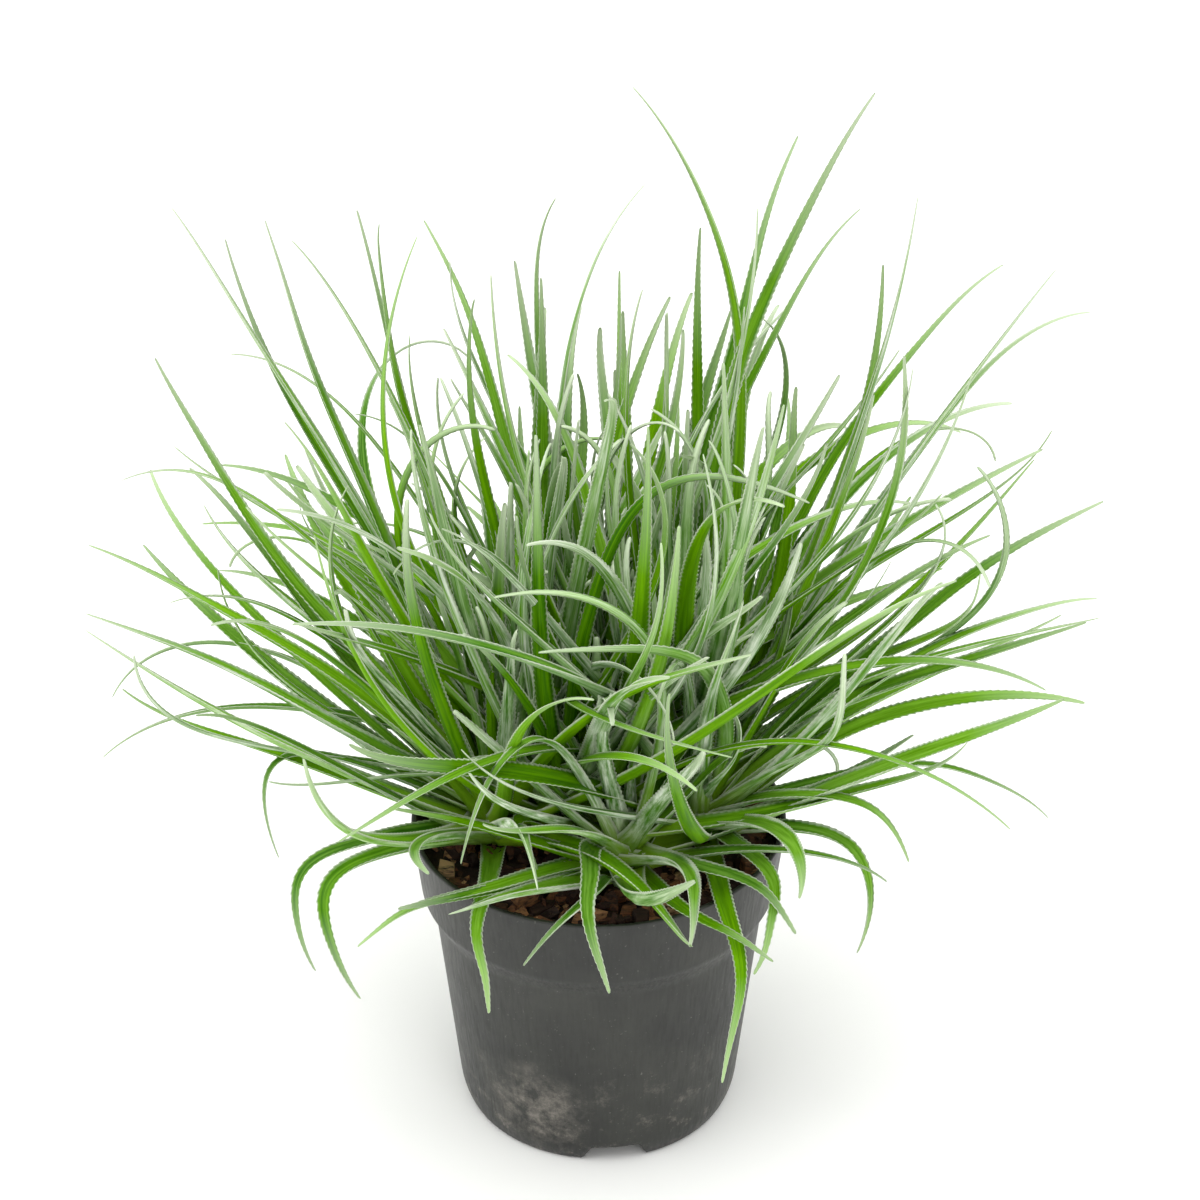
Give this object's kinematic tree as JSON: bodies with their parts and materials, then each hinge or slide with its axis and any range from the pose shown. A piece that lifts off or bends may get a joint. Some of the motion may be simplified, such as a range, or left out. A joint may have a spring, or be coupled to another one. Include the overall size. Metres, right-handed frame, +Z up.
{
  "type": "potted bromeliad",
  "caption": "Clump-forming grassy bromeliad with narrow arching fine-toothed leaves, growing in bark mix in a round plastic nursery pot.",
  "frame": {"origin": "middle of the pot's foot, on the surface that it stands on", "axes": "+Z up along the pot's axis; -Y towards the side with the hanging leaves, which is the front; +X to the right seen from the front"},
  "size_m": [0.317, 0.236, 0.336],
  "materials": {
    "leaf": "living leaf, satin green upper side, grey-green scaly underside, pale toothed margins",
    "crown": "living leaf sheaths, pale yellow-green with silver scales",
    "potting_mix": "damp composted bark, coarse and matt",
    "bark": "split bark chips, matt reddish brown",
    "pot": "thin moulded polypropylene, satin charcoal with handling scuffs"
  },
  "bodies": {
    "root": {"bark_chip_1": "bark", "bark_chip_2": "bark", "bark_chip_3": "bark", "bark_chip_4": "bark", "bark_chip_5": "bark", "crown_back": "crown", "crown_back_left": "crown", "crown_back_right": "crown", "crown_front": "crown", "crown_left": "crown", "crown_middle": "crown", "crown_right": "crown", "leaf_back_far_left": "leaf", "leaf_back_far_right": "leaf", "leaf_back_leaning_right": "leaf", "leaf_back_left_far": "leaf", "leaf_back_left_high": "leaf", "leaf_back_left_level": "leaf", "leaf_back_left_spread": "leaf", "leaf_back_left_tall": "leaf", "leaf_back_right_high": "leaf", "leaf_back_right_spread": "leaf", "leaf_back_right_tip_in": "leaf", "leaf_back_right_tip_out": "leaf", "leaf_back_right_upright": "leaf", "leaf_back_right_wide": "leaf", "leaf_back_tall_left": "leaf", "leaf_back_tall_right": "leaf", "leaf_front_hanging": "leaf", "leaf_front_left_low": "leaf", "leaf_front_low_right": "leaf", "leaf_front_over_rim_left": "leaf", "leaf_front_over_rim_right": "leaf", "leaf_front_pale_arch": "leaf", "leaf_front_right_short": "leaf", "leaf_front_silver_curl": "leaf", "leaf_left_drooping": "leaf", "leaf_left_drooping_outer": "leaf", "leaf_left_front_hanging": "leaf", "leaf_left_long_low": "leaf", "leaf_left_long_middle": "leaf", "leaf_left_long_upper": "leaf", "leaf_left_rising": "leaf", "leaf_left_tall": "leaf", "leaf_left_thin_loop": "leaf", "leaf_middle_long_left": "leaf", "leaf_middle_short": "leaf", "leaf_middle_silver_left": "leaf", "leaf_middle_silver_right": "leaf", "leaf_middle_tall_left": "leaf", "leaf_right_drooping": "leaf", "leaf_right_hanging": "leaf", "leaf_right_long": "leaf", "leaf_right_long_upper": "leaf", "leaf_right_low_arch": "leaf", "leaf_right_over_rim": "leaf", "leaf_right_short_arch": "leaf", "leaf_right_silver_arch": "leaf", "pot": "pot", "potting_mix": "potting_mix"}
  },
  "joints": []
}
